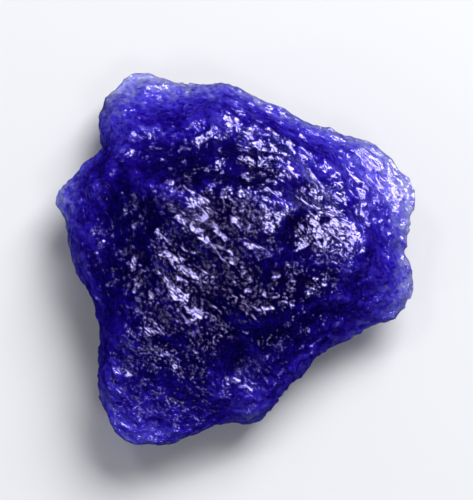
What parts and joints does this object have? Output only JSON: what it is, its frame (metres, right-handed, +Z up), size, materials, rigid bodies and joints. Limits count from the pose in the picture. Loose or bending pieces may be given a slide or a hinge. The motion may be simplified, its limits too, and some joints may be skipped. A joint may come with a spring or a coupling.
{
  "type": "rough gemstone crystal",
  "caption": "Rough lump of deep violet-blue see-through crystal with a broken, chipped surface and a small flat spot to lie on.",
  "frame": {"origin": "under the middle of the lump, on the surface it lies on", "axes": "+Z up through the lump's thickness, +Y towards its pointed far left corner, +X towards the notched right end"},
  "size_m": [0.0326, 0.0348, 0.0138],
  "materials": {
    "violet_blue_crystal": "glossy, chipped"
  },
  "bodies": {
    "root": {"rough_tanzanite": "violet_blue_crystal"}
  },
  "joints": []
}
